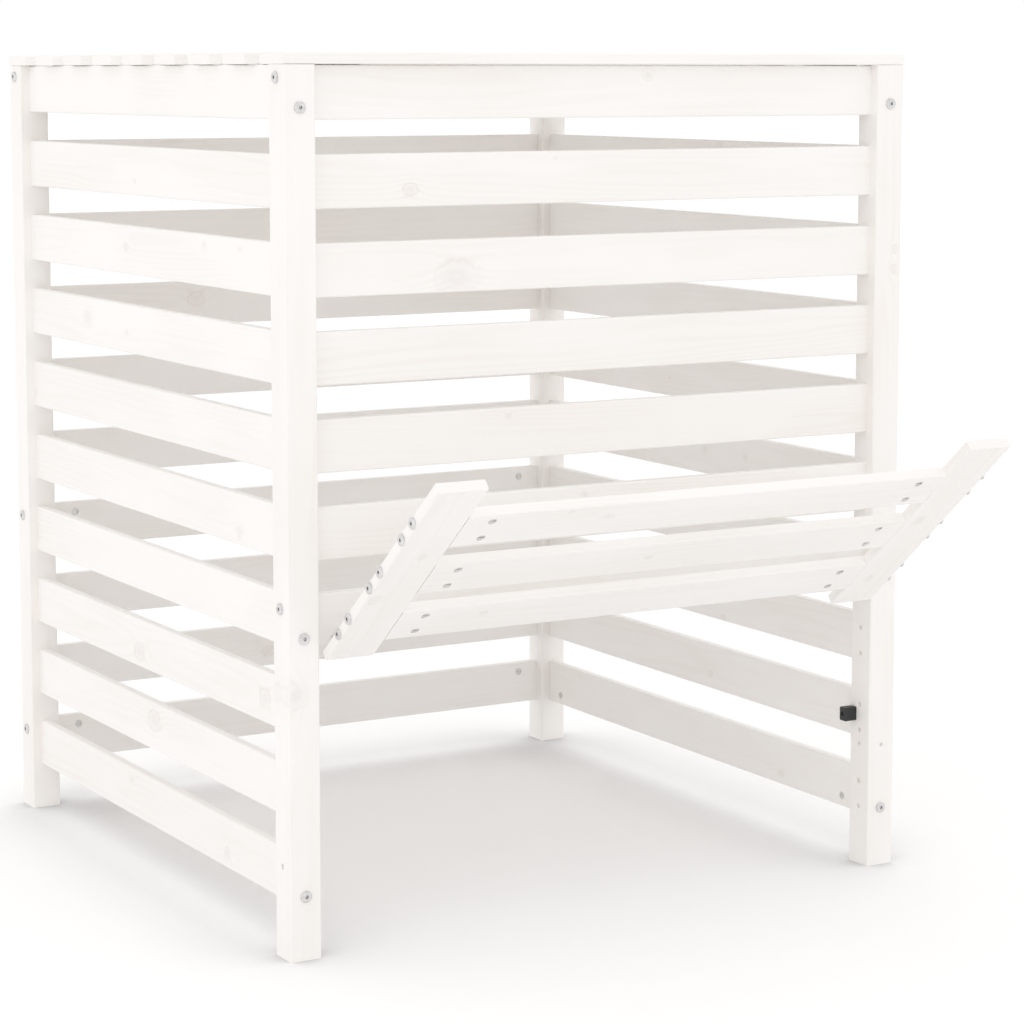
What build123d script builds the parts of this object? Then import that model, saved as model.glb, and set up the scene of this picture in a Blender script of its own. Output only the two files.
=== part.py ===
from build123d import *
from math import cos, radians, sin
import os

# Slatted wooden compost bin: four posts with slats between them, a slatted lid
# hinged at the back and a flap in the front for taking the compost out.
# Millimetres, +Z up, the front faces -Y. The flap stands raised. The origin is
# the middle of the whole bin's underside, the raised flap included.

# Overall sizes
bin_width = 825.0
bin_depth = 825.0
bin_height = 995.0

# Timber
post_size = 38.0
post_edge_round = 2.5
board_width = 59.0
board_thickness = 12.5
board_edge_round = 2.0

# Rows of slats, counted from the top
row_pitch = 96.0
row_count = 10
front_row_count = 7
post_rise = 0.4

# Lid
lid_slat_count = 9
lid_seat_gap = 0.3
lid_batten_inset = 10.0
lid_batten_end_gap = 3.0

# Flap
flap_opening = 130.0
flap_side_gap = 4.5
flap_top_gap = 4.2
flap_ground_gap = 6.3

# Tie bolts, with their barrel nuts, and dowels
fixing_offset = 16.0
bolt_radius = 3.0
bolt_bore_radius = 3.5
bolt_head_radius = 6.5
bolt_head_height = 2.5
bolt_head_bevel = 0.8
bolt_head_bevel_angle = 45.0
bolt_overrun = 8.0
bolt_socket_width = 4.0
bolt_socket_depth = 3.2
nut_inset = 32.4
nut_radius = 5.0
nut_length = 10.5
nut_slot_width = 1.2
nut_slot_depth = 1.0
nut_bore_depth = 11.6
thread_clearance = 0.05
dowel_radius = 3.0
dowel_post_depth = 14.0
dowel_slat_depth = 16.0
dowel_end_gap = 0.5
fixing_clearance = 0.05

# Hinges
hinge_length = 27.0
hinge_leaf_width = 12.0
hinge_leaf_thickness = 1.5
hinge_pin_radius = 2.0
hinge_pin_clearance = 0.05
hinge_pin_head_radius = 3.0
hinge_pin_head_height = 1.2
knuckle_radius = 4.5
knuckle_gap = 0.3
knuckle_count = 5
flap_hinge_drop = 0.5

# Screws
screw_radius = 1.6
screw_head_radius = 2.9
screw_head_depth = 1.3
screw_length = 16.0
screw_end_gap = 1.0
screw_clearance = 0.05
screw_slot_width = 0.9
screw_slot_depth = 0.7
hinge_screw_spacing = 9.0
lid_screw_length = 20.0
lid_screw_offset = 17.0
lid_screw_end_inset = 8.0

# Stop block and the two small holes below it
stop_width = 17.0
stop_height = 17.0
stop_rise = 3.0
stop_seat_gap = 0.3
stop_edge_round = 1.5
stop_screw_length = 38.0
small_hole_radius = 2.5
small_hole_depth = 12.0
small_hole_drop = 36.0

# Places worked out from the sizes
up = Vector(0, 0, 1)
slat_recess = (post_size - board_thickness) / 2
slat_reveal = slat_recess + board_thickness
post_height = bin_height - board_thickness - lid_seat_gap
lid_bottom = bin_height - board_thickness
inner_width = bin_width - 2 * post_size
inner_depth = bin_depth - 2 * post_size
top_row = post_height - post_rise - board_width / 2
row_heights = [top_row - row * row_pitch for row in range(row_count)]
tie_rows = (0, front_row_count - 1, row_count - 1)
stop_center_height = row_heights[row_count - 2] + stop_rise
small_hole_height = stop_center_height - small_hole_drop
hinge_standoff = knuckle_radius + knuckle_gap
screw_hole_radius = screw_radius + screw_clearance
screw_sink_radius = screw_head_radius + screw_clearance
knuckle_pitch = hinge_length / knuckle_count
knuckle_length = knuckle_pitch - knuckle_gap
pair_offsets = (-fixing_offset, fixing_offset)

# The raised flap, as directions and drops from its hinge axis
opening_angle = radians(flap_opening)
flap_out = Vector(0, -cos(opening_angle), sin(opening_angle))
flap_down = Vector(0, -sin(opening_angle), -cos(opening_angle))
opening_height = row_heights[front_row_count - 1] - board_width / 2
flap_hinge_height = opening_height - flap_hinge_drop
flap_top_height = opening_height - flap_top_gap
flap_batten_length = flap_top_height - flap_ground_gap
flap_throw = (flap_hinge_height - flap_ground_gap) * sin(opening_angle)
flap_throw -= (hinge_standoff + board_thickness) * cos(opening_angle)

# Depth: the raised flap reaches as far forward of the origin as the lid's hinges reach back
middle_y = (flap_throw - slat_recess - knuckle_radius) / 2
front_y = middle_y - bin_depth / 2
back_y = middle_y + bin_depth / 2
post_x = (bin_width - post_size) / 2
flap_hinge = Vector(0, front_y + slat_recess - hinge_standoff, flap_hinge_height)
flap_width = inner_width - 2 * flap_side_gap
flap_board_length = flap_width - 2 * board_width
flap_batten_x = (flap_width - board_width) / 2


def facing(origin, outward):
    """A plane that faces outward, with its own Y pointing up."""
    direction = Vector(*outward)
    return Plane(origin=origin, x_dir=up.cross(direction), z_dir=direction)


def shifted(plane, x, y):
    """The same plane with its origin moved within it."""
    return Plane(origin=plane.from_local_coords((x, y, 0)), x_dir=plane.x_dir, z_dir=plane.z_dir)


def on_flap(x, drop, inset):
    """A point of the flap: drop is along it from the hinge axis, inset is behind that axis."""
    return flap_hinge + Vector(x, 0, 0) + flap_down * drop - flap_out * inset


def end_plane(plane, length, side):
    """The end face of a board that lies on a plane, looking along the board."""
    direction = plane.x_dir * side
    origin = plane.origin + direction * (length / 2) + plane.z_dir * (board_thickness / 2)
    return Plane(origin=origin, x_dir=plane.y_dir.cross(direction), z_dir=direction)


def fixing_planes(plane, length, offsets):
    """One plane on each fixing's axis, in both end faces of a board."""
    return [
        shifted(end_plane(plane, length, side), 0, offset)
        for side in (-1, 1)
        for offset in offsets
    ]


def nut_planes(plane, length, offsets):
    """One plane on the middle of each barrel nut of a board, facing the nut's open end."""
    return [
        Plane(origin=seat.offset(-nut_inset).origin, x_dir=plane.x_dir, z_dir=plane.z_dir)
        for seat in fixing_planes(plane, length, offsets)
    ]


def board(plane, length, width=board_width):
    """A plain board lying on a plane, its length along the plane's X, its long edges rounded."""
    with BuildPart() as blank:
        with BuildSketch(plane):
            Rectangle(length, width)
        extrude(amount=board_thickness)
        long_edges = blank.edges().filter_by(Axis(plane.origin, plane.x_dir))
        fillet(long_edges, board_edge_round)
    return blank.part


def jointed_board(plane, length, bolts, dowels):
    """A board bored in both ends for bolts and dowels at these offsets across its width."""
    blank = board(plane, length)
    with BuildPart() as piece:
        add(blank)
        if dowels:
            with BuildSketch(*fixing_planes(plane, length, dowels)):
                Circle(dowel_radius + fixing_clearance)
            extrude(amount=-dowel_slat_depth, mode=Mode.SUBTRACT)
        if bolts:
            with BuildSketch(*fixing_planes(plane, length, bolts)):
                Circle(bolt_bore_radius)
            extrude(amount=-(nut_inset + bolt_overrun), mode=Mode.SUBTRACT)
            mouths = [mouth.offset(board_thickness / 2) for mouth in nut_planes(plane, length, bolts)]
            with BuildSketch(*mouths):
                Circle(nut_radius + fixing_clearance)
            extrude(amount=-nut_bore_depth, mode=Mode.SUBTRACT)
    return piece.part


def save(part, name):
    """Labels a finished piece and writes its file."""
    part.label = name
    export_step(part, f"parts/{name}.step")


# Slats

# Each side's plane lies on the slats' outer faces at the ground and looks inwards.
# The bolts of the front and back slats sit above the slat's middle, and those of
# the left and right slats below it, so that they pass one another in the posts.
sides = {
    "front": (facing((0, front_y + slat_recess, 0), (0, 1, 0)), inner_width, front_row_count, 1),
    "back": (facing((0, back_y - slat_recess, 0), (0, -1, 0)), inner_width, row_count, 1),
    "left": (facing((slat_recess - bin_width / 2, middle_y, 0), (1, 0, 0)), inner_depth, row_count, -1),
    "right": (facing((bin_width / 2 - slat_recess, middle_y, 0), (-1, 0, 0)), inner_depth, row_count, -1),
}


def slat_fixings(row, bolt_side):
    """The offsets of a slat's bolts and of its dowels, from the middle of its width."""
    if row in tie_rows:
        return (bolt_side * fixing_offset,), (-bolt_side * fixing_offset,)
    return (), pair_offsets


def slat_plane(plane, row):
    """The plane of one slat's outer face, on the middle of the slat."""
    return shifted(plane, 0, row_heights[row])


def hinge_leaf_planes():
    """Planes on the hinge axes, facing out, with their Y along the leaf: frame, flap and lid leaves."""
    frame, flap, lid = [], [], []
    for side in (-1, 1):
        flap_axis = flap_hinge + Vector(side * flap_batten_x, 0, 0)
        lid_axis = Vector(side * post_x, back_y + hinge_standoff, lid_bottom - lid_seat_gap / 2)
        front, back = Vector(0, -1, 0), Vector(0, 1, 0)
        frame.append(Plane(origin=flap_axis, x_dir=up.cross(front), z_dir=front))
        flap.append(Plane(origin=flap_axis, x_dir=flap_down.cross(flap_out), z_dir=flap_out))
        frame.append(Plane(origin=lid_axis, x_dir=-up.cross(back), z_dir=back))
        lid.append(Plane(origin=lid_axis, x_dir=up.cross(back), z_dir=back))
    return frame, flap, lid


def leaf_screw_planes(planes):
    """Planes on the outer faces of hinge leaves, one at each screw."""
    clear = knuckle_radius + knuckle_gap
    height = (clear + hinge_leaf_width) / 2
    return [
        shifted(plane.offset(hinge_leaf_thickness - hinge_standoff), place * hinge_screw_spacing, height)
        for plane in planes
        for place in (-1, 0, 1)
    ]


def drill_for_screws(planes, length, sunk):
    """Pilot holes in the wood under screws whose heads sit that far above it."""
    seats = [plane.offset(-sunk).location for plane in planes]
    with Locations(*seats):
        Hole(screw_hole_radius, length - sunk + screw_end_gap)


frame_leaf_planes, flap_leaf_planes, lid_leaf_planes = hinge_leaf_planes()
frame_leaf_screws = leaf_screw_planes(frame_leaf_planes)
flap_leaf_screws = leaf_screw_planes(flap_leaf_planes)
lid_leaf_screws = leaf_screw_planes(lid_leaf_planes)
slat_leaf_screws = [plane for plane in frame_leaf_screws if plane.origin.Y < middle_y]
post_leaf_screws = [plane for plane in frame_leaf_screws if plane.origin.Y > middle_y]
hinge_pilot_length = board_thickness + hinge_leaf_thickness - 2 * screw_end_gap


def make_slat(side, row):
    """One slat of a side; the lowest fixed front slat also takes the flap's hinges."""
    plane, length, _, bolt_side = sides[side]
    bolts, dowels = slat_fixings(row, bolt_side)
    bored = jointed_board(slat_plane(plane, row), length, bolts, dowels)
    if side != "front" or row != front_row_count - 1:
        return bored
    with BuildPart() as slat:
        add(bored)
        drill_for_screws(slat_leaf_screws, hinge_pilot_length, hinge_leaf_thickness)
    return slat.part


# Posts


def post_bores(bolt_side):
    """Points on a post's inner face for its through bolts and for its dowels."""
    bolts, dowels = [], []
    for row, height in enumerate(row_heights):
        bolt_offsets, dowel_offsets = slat_fixings(row, bolt_side)
        bolts += [(0, height + offset) for offset in bolt_offsets]
        dowels += [(0, height + offset) for offset in dowel_offsets]
    return bolts, dowels


def make_post(side_x, side_y):
    """A corner post, bored on both inner faces for every row, as all four are bored alike."""
    middle = (side_x * post_x, middle_y + side_y * (bin_depth - post_size) / 2)
    inner_x = middle[0] - side_x * post_size / 2
    inner_y = middle[1] - side_y * post_size / 2
    faces = [
        (facing((inner_x, middle[1], 0), (side_x, 0, 0)), 1),
        (facing((middle[0], inner_y, 0), (0, side_y, 0)), -1),
    ]
    with BuildPart() as post:
        with BuildSketch(Plane.XY):
            with Locations(middle):
                Rectangle(post_size, post_size)
        extrude(amount=post_height)
        fillet(post.edges().filter_by(Axis.Z), post_edge_round)
        for face, bolt_side in faces:
            bolts, dowels = post_bores(bolt_side)
            with BuildSketch(face):
                with Locations(*dowels):
                    Circle(dowel_radius + fixing_clearance)
            extrude(amount=dowel_post_depth, mode=Mode.SUBTRACT)
            with BuildSketch(face):
                with Locations(*bolts):
                    Circle(bolt_bore_radius)
            extrude(amount=post_size, mode=Mode.SUBTRACT)
        if side_y > 0:
            own_screws = [plane for plane in post_leaf_screws if plane.origin.X * side_x > 0]
            drill_for_screws(own_screws, screw_length, hinge_leaf_thickness)
        if side_y < 0 and side_x > 0:
            drill_for_screws([stop_screw_plane], stop_screw_length, stop_width)
            outer_y = middle[1] + side_y * post_size / 2
            fronts = [
                facing((middle[0], outer_y, small_hole_height), (0, side_y, 0)),
                facing((inner_x, middle[1], small_hole_height), (-side_x, 0, 0)),
            ]
            with Locations(*[face.location for face in fronts]):
                Hole(small_hole_radius, small_hole_depth)
    return post.part


# Stop block on the right post, behind the closed flap

stop_front = front_y + slat_reveal + stop_seat_gap
stop_depth = front_y + post_size - stop_front
stop_inner_x = inner_width / 2 - stop_width
stop_middle = (stop_inner_x, stop_front + stop_depth / 2, stop_center_height)
stop_screw_plane = facing(stop_middle, (-1, 0, 0))

with BuildPart() as flap_stop:
    with BuildSketch(stop_screw_plane):
        Rectangle(stop_depth, stop_height)
    extrude(amount=-stop_width)
    stop_front_edges = flap_stop.faces().sort_by(Axis.X)[0].edges()
    stop_long_edges = flap_stop.edges().filter_by(Axis.X)
    fillet(stop_front_edges + stop_long_edges, stop_edge_round)
    with Locations(stop_screw_plane.location):
        CounterSinkHole(screw_hole_radius, screw_sink_radius, stop_width)


# Flap


def flap_board_plane(x, drop, across):
    """A plane on the flap's outer face, looking inwards: boards lie across it, battens along it."""
    inward = -flap_out
    x_dir = flap_down.cross(flap_out) if across else flap_down
    return Plane(origin=on_flap(x, drop, hinge_standoff), x_dir=x_dir, z_dir=inward)


flap_rows = range(front_row_count, row_count)
flap_board_drops = [flap_hinge_height - row_heights[row] for row in flap_rows]
flap_batten_drop = flap_hinge_height - flap_top_height + flap_batten_length / 2
flap_board_planes = [flap_board_plane(0, drop, True) for drop in flap_board_drops]
flap_bolt_seats = [
    seat
    for plane in flap_board_planes
    for seat in fixing_planes(plane, flap_board_length, pair_offsets)
]


def make_flap_batten(side):
    """A side batten of the flap, bored across its width for the bolts of the three boards."""
    blank = board(flap_board_plane(side * flap_batten_x, flap_batten_drop, False), flap_batten_length)
    own_seats = [seat for seat in flap_bolt_seats if seat.origin.X * side > 0]
    own_screws = [plane for plane in flap_leaf_screws if plane.origin.X * side > 0]
    with BuildPart() as batten:
        add(blank)
        with BuildSketch(*own_seats):
            Circle(bolt_bore_radius)
        extrude(amount=board_width, mode=Mode.SUBTRACT)
        drill_for_screws(own_screws, hinge_pilot_length, hinge_leaf_thickness)
    return batten.part


# Lid

lid_slat_pitch = (bin_depth - board_width) / (lid_slat_count - 1)
lid_slat_places = [front_y + board_width / 2 + lid_slat_pitch * n for n in range(lid_slat_count)]
lid_batten_x = inner_width / 2 - lid_batten_inset - board_width / 2
lid_batten_length = bin_depth - 2 * slat_reveal - 2 * lid_batten_end_gap
lid_batten_bottom = lid_bottom - board_thickness
lid_screw_reach = lid_batten_length / 2 - lid_screw_end_inset
lid_screw_places = [
    (side * lid_batten_x + shift, max(-lid_screw_reach, min(lid_screw_reach, y - shift - middle_y)))
    for y in lid_slat_places
    for side in (-1, 1)
    for shift in (-lid_screw_offset, lid_screw_offset)
]
lid_screw_planes = [
    Plane(origin=(x, middle_y + y, lid_batten_bottom), z_dir=(0, 0, -1)) for x, y in lid_screw_places
]
lid_batten_planes = [
    Plane(origin=(side * lid_batten_x, middle_y, lid_batten_bottom), x_dir=(0, 1, 0), z_dir=(0, 0, 1))
    for side in (-1, 1)
]


def make_lid_slat(index):
    """One slat of the lid, drilled from below at both battens; the last one carries the hinges."""
    y = lid_slat_places[index]
    blank = board(Plane(origin=(0, y, lid_bottom)), bin_width)
    own_screws = [plane for plane in lid_screw_planes if abs(plane.origin.Y - y) < board_width / 2]
    with BuildPart() as slat:
        add(blank)
        drill_for_screws(own_screws, lid_screw_length, board_thickness)
        if index == lid_slat_count - 1:
            drill_for_screws(lid_leaf_screws, screw_length, hinge_leaf_thickness)
    return slat.part


lid_batten_blanks = [board(plane, lid_batten_length) for plane in lid_batten_planes]

with BuildPart() as lid_battens:
    add(lid_batten_blanks)
    with Locations(*[plane.location for plane in lid_screw_planes]):
        CounterSinkHole(screw_hole_radius, screw_sink_radius, board_thickness)


# Hinges


def knuckle_places(fixed):
    """Middles of the knuckles along a hinge: the frame leaf has the outer and middle ones."""
    middle = (knuckle_count - 1) / 2
    return [(n - middle) * knuckle_pitch for n in range(knuckle_count) if (n % 2 == 0) == fixed]


def knuckle_planes(plane, fixed):
    """Planes across the hinge axis at a leaf's knuckles."""
    across = Plane(origin=plane.origin, x_dir=plane.y_dir, z_dir=plane.x_dir)
    return [across.offset(place) for place in knuckle_places(fixed)]


def make_leaves(planes, fixed):
    """Hinge leaves of one kind: a plate with its knuckles, cleared for the other leaf's."""
    clear = knuckle_radius + knuckle_gap
    with BuildPart() as leaves:
        for plane in planes:
            with BuildSketch(plane.offset(-hinge_standoff)):
                with Locations((0, hinge_leaf_width / 2)):
                    Rectangle(hinge_length, hinge_leaf_width)
            extrude(amount=hinge_leaf_thickness)
            with BuildSketch(*knuckle_planes(plane, not fixed)):
                Circle(clear)
            extrude(amount=(knuckle_pitch + knuckle_gap) / 2, both=True, mode=Mode.SUBTRACT)
            with BuildSketch(*knuckle_planes(plane, fixed)):
                Circle(knuckle_radius)
            extrude(amount=knuckle_length / 2, both=True)
            with BuildSketch(*knuckle_planes(plane, fixed)):
                Circle(hinge_pin_radius + hinge_pin_clearance)
            extrude(amount=knuckle_pitch / 2, both=True, mode=Mode.SUBTRACT)
        with Locations(*[plane.location for plane in leaf_screw_planes(planes)]):
            CounterSinkHole(screw_hole_radius, screw_sink_radius, hinge_leaf_width)
    return leaves.part


pin_ends = [
    Plane(origin=plane.origin, x_dir=plane.y_dir, z_dir=plane.x_dir * side).offset(hinge_length / 2)
    for side in (-1, 1)
    for plane in frame_leaf_planes
]

with BuildPart() as hinge_pins:
    with BuildSketch(*pin_ends):
        Circle(hinge_pin_radius)
    extrude(amount=-hinge_length / 2)
    with BuildSketch(*pin_ends):
        Circle(hinge_pin_head_radius)
    extrude(amount=hinge_pin_head_height)


# Fasteners


def make_bolts(seats, grip):
    """Tie bolts with flat socket heads, each through a piece as thick as the grip into its nut."""
    heads = [seat.offset(grip) for seat in seats]
    straight = bolt_head_height - bolt_head_bevel
    with BuildPart() as bolts:
        with BuildSketch(*heads):
            Circle(bolt_radius)
        extrude(amount=-(grip + nut_inset + nut_radius))
        with BuildSketch(*heads):
            Circle(bolt_head_radius)
        extrude(amount=straight)
        with BuildSketch(*[head.offset(straight) for head in heads]):
            Circle(bolt_head_radius)
        extrude(amount=bolt_head_bevel, taper=bolt_head_bevel_angle)
        with BuildSketch(*[head.offset(bolt_head_height) for head in heads]):
            RegularPolygon(bolt_socket_width / 2, 6, major_radius=False)
        extrude(amount=-bolt_socket_depth, mode=Mode.SUBTRACT)
    return bolts.part


def make_nuts(middles, seats):
    """Barrel nuts, each with a slot in its open end and a thread across it."""
    with BuildPart() as nuts:
        with BuildSketch(*middles):
            Circle(nut_radius)
        extrude(amount=nut_length / 2, both=True)
        with BuildSketch(*[seat.offset(-nut_inset) for seat in seats]):
            Circle(bolt_radius + thread_clearance)
        extrude(amount=nut_length, both=True, mode=Mode.SUBTRACT)
        with BuildSketch(*[middle.offset(nut_length / 2) for middle in middles]):
            Rectangle(2 * nut_radius, nut_slot_width)
        extrude(amount=-nut_slot_depth, mode=Mode.SUBTRACT)
    return nuts.part


def make_screws(planes, length):
    """Countersunk cross-head screws with their heads level with these planes."""
    with BuildPart() as screws:
        with Locations(*[plane.location for plane in planes]):
            Cylinder(screw_radius, length, align=(Align.CENTER, Align.CENTER, Align.MAX))
            Cone(
                screw_radius,
                screw_head_radius,
                screw_head_depth,
                align=(Align.CENTER, Align.CENTER, Align.MAX),
            )
        with BuildSketch(*planes):
            Rectangle(2 * screw_radius, screw_slot_width)
            Rectangle(screw_slot_width, 2 * screw_radius)
        extrude(amount=-screw_slot_depth, mode=Mode.SUBTRACT)
    return screws.part


frame_bolt_seats, frame_nut_middles, dowel_seats = [], [], []
for plane, length, rows, bolt_side in sides.values():
    for row in range(rows):
        bolt_offsets, dowel_offsets = slat_fixings(row, bolt_side)
        frame_bolt_seats += fixing_planes(slat_plane(plane, row), length, bolt_offsets)
        frame_nut_middles += nut_planes(slat_plane(plane, row), length, bolt_offsets)
        dowel_seats += fixing_planes(slat_plane(plane, row), length, dowel_offsets)
flap_nut_middles = [
    middle
    for plane in flap_board_planes
    for middle in nut_planes(plane, flap_board_length, pair_offsets)
]

with BuildPart() as dowels:
    with BuildSketch(*[seat.offset(dowel_end_gap - dowel_slat_depth) for seat in dowel_seats]):
        Circle(dowel_radius)
    extrude(amount=dowel_slat_depth + dowel_post_depth - 2 * dowel_end_gap)

back_slat_pieces = [make_slat("back", row) for row in range(row_count)]

with BuildPart() as back_slats:
    add(back_slat_pieces)


# Files

os.makedirs("parts", exist_ok=True)

corners = {"front_left": (-1, -1), "front_right": (1, -1), "back_left": (-1, 1), "back_right": (1, 1)}
for corner, (side_x, side_y) in corners.items():
    save(make_post(side_x, side_y), f"post_{corner}")

for side in ("front", "left", "right"):
    for row in range(sides[side][2]):
        save(make_slat(side, row), f"{side}_slat_{row + 1}")
save(back_slats.part, "back_slats")

for index, plane in enumerate(flap_board_planes):
    save(jointed_board(plane, flap_board_length, pair_offsets, ()), f"flap_board_{index + 1}")
save(make_flap_batten(-1), "flap_batten_left")
save(make_flap_batten(1), "flap_batten_right")
save(flap_stop.part, "flap_stop")

for index in range(lid_slat_count):
    save(make_lid_slat(index), f"lid_slat_{index + 1}")
save(lid_battens.part, "lid_battens")

save(make_leaves(frame_leaf_planes, True), "hinge_frame_leaves")
save(make_leaves(flap_leaf_planes, False), "hinge_flap_leaves")
save(make_leaves(lid_leaf_planes, False), "hinge_lid_leaves")
save(hinge_pins.part, "hinge_pins")

save(make_bolts(frame_bolt_seats, post_size), "frame_bolts")
save(make_nuts(frame_nut_middles, frame_bolt_seats), "frame_barrel_nuts")
save(make_bolts(flap_bolt_seats, board_width), "flap_bolts")
save(make_nuts(flap_nut_middles, flap_bolt_seats), "flap_barrel_nuts")
save(dowels.part, "dowels")

frame_screws = make_screws(slat_leaf_screws, hinge_pilot_length)
frame_screws += make_screws(post_leaf_screws, screw_length)
frame_screws += make_screws([stop_screw_plane], stop_screw_length)
save(frame_screws, "frame_screws")
save(make_screws(flap_leaf_screws, hinge_pilot_length), "flap_screws")
lid_screws = make_screws(lid_leaf_screws, screw_length)
lid_screws += make_screws(lid_screw_planes, lid_screw_length)
save(lid_screws, "lid_screws")
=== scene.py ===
from collections import namedtuple
from math import cos, pi, radians, sin

import bpy
import numpy as np
from bpy.props import FloatProperty, FloatVectorProperty, PointerProperty
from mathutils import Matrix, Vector


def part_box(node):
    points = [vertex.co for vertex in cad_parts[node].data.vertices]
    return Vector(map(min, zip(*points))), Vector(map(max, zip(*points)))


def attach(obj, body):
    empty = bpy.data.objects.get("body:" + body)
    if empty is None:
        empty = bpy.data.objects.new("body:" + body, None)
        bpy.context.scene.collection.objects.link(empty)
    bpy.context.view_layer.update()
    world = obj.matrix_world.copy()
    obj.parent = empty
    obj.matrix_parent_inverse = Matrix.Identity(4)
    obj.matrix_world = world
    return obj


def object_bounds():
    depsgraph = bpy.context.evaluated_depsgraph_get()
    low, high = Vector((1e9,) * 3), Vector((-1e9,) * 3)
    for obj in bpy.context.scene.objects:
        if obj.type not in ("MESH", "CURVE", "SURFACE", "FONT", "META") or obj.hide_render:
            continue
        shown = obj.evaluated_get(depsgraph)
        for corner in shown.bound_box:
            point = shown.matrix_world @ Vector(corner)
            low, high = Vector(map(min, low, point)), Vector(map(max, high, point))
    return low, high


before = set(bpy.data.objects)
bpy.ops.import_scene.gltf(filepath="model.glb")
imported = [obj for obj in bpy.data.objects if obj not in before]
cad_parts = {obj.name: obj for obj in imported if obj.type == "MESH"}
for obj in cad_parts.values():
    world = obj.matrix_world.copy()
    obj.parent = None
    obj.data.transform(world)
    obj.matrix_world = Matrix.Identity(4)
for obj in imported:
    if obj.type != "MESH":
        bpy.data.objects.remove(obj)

bl_info = {
    "name": "Slatted compost bin",
    "version": (1, 0, 0),
    "blender": (4, 5, 0),
    "location": "3D View > Sidebar > Compost bin",
    "description": "Finishes the wood, metal and plastic of a slatted compost bin and sets its stage",
    "category": "Object",
}

CAD_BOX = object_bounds()

# How the pieces lie

# A piece's grain runs along it, its width lies across it, and its thickness is
# square to both. The flap is raised by this angle from hanging, so its boards
# lie on a slope.
X, Y, Z = Vector((1, 0, 0)), Vector((0, 1, 0)), Vector((0, 0, 1))
FLAP_OPENING = radians(130)
FLAP_DOWN = Vector((0, -sin(FLAP_OPENING), -cos(FLAP_OPENING)))

Lay = namedtuple("Lay", "along across")
POST = Lay(Z, X)
SLAT_ACROSS_THE_BIN = Lay(X, Z)
SLAT_FRONT_TO_BACK = Lay(Y, Z)
LID_SLAT = Lay(X, Y)
LID_BATTEN = Lay(Y, X)
FLAP_BOARD = Lay(X, FLAP_DOWN)
FLAP_BATTEN = Lay(FLAP_DOWN, X)

# Several like solids in one node repeat across it at this pitch, the first of
# them this far from the node's middle.
Repeat = namedtuple("Repeat", "pitch first")


def middle(node):
    """The middle of a node's box."""
    low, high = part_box(node)
    return (Vector(low) + Vector(high)) / 2


def extent(node):
    """The size of a node's box."""
    low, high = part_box(node)
    return Vector(high) - Vector(low)


def length_along(node, direction):
    """How long a node is along a direction that may lie on a slope."""
    points = np.array([point.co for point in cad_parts[node].data.vertices])
    return float(np.ptp(points @ np.array(direction)))


SIDE_ROWS = 10
FRONT_ROWS = 7
LID_SLATS = 9
FLAP_BOARDS = 3
BOARD_WIDTH = extent("left_slat_1").z
BOARD_THICKNESS = extent("left_slat_1").x
POST_SIZE = extent("post_front_left").x
ROW_PITCH = middle("left_slat_1").z - middle("left_slat_2").z
LID_BATTEN_PITCH = extent("lid_battens").x - BOARD_WIDTH
BACK_SLAT_ROWS = Repeat(ROW_PITCH, ROW_PITCH / 2)
LID_BATTEN_PAIR = Repeat(LID_BATTEN_PITCH, LID_BATTEN_PITCH / 2)

# Knots that the photograph shows, in metres from the middle of the piece: how
# far along it, how far across it, and the knot's radius.
KNOTS = {
    "left_slat_1": (),
    "left_slat_2": ((0.028, -0.012, 0.005),),
    "left_slat_3": ((0.059, 0.004, 0.007), (-0.174, 0.019, 0.007), (-0.270, 0.017, 0.006)),
    "left_slat_4": ((0.185, 0.005, 0.014), (0.060, -0.004, 0.005)),
    "left_slat_5": (),
    "left_slat_6": ((-0.262, -0.013, 0.010),),
    "left_slat_7": (),
    "left_slat_8": ((0.034, -0.010, 0.017), (-0.325, -0.001, 0.016)),
    "left_slat_9": ((-0.009, 0.008, 0.019),),
    "left_slat_10": ((0.065, 0.016, 0.006), (-0.218, -0.012, 0.010)),
    "front_slat_1": ((0.056, 0.018, 0.008),),
    "front_slat_2": ((-0.253, -0.010, 0.010), (-0.068, 0.021, 0.003)),
    "front_slat_3": ((-0.196, -0.013, 0.029),),
    "front_slat_4": (),
    "front_slat_5": ((-0.129, 0.020, 0.004),),
    "front_slat_6": ((-0.028, 0.019, 0.005),),
    "front_slat_7": (),
    "back_slats": ((-0.163, 0.150, 0.013), (0.210, -0.050, 0.009), (-0.060, -0.345, 0.010)),
    "post_front_left": ((-0.193, -0.0105, 0.016),),
    "post_front_right": ((0.270, 0.009, 0.005), (0.246, 0.008, 0.006)),
    "flap_board_1": ((0.022, -0.023, 0.004), (-0.203, 0.010, 0.005)),
    "flap_board_2": ((-0.032, 0.003, 0.005),),
    "flap_board_3": ((-0.131, 0.005, 0.006), (-0.185, 0.022, 0.004)),
    "flap_batten_left": ((-0.042, -0.020, 0.007), (0.042, 0.004, 0.006)),
}

# Knots of the boards that the photograph doesn't show: how many are tried, from the first
# number to one below the second, the share of them that is kept, how far from the middle
# they may lie as shares of the board, and the range of their radii.
SPARE_KNOT_TRIES = (1, 4)
SPARE_KNOTS_KEPT_SHARE = 0.7
SPARE_KNOT_ALONG_SHARE = 0.46
SPARE_KNOT_ACROSS_SHARE = 0.4
SPARE_KNOT_RADII = (0.003, 0.009)
SPARE_KNOT_FIRST_SEED = 1000


# Shader maths

# Smooth noise: the size of its features in metres, its detail and its roughness, and the
# share of the way along the grain that counts, where it is drawn out along wood.
Noise = namedtuple("Noise", "size detail roughness along_share", defaults=(2.0, 0.5, 1.0))


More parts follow.
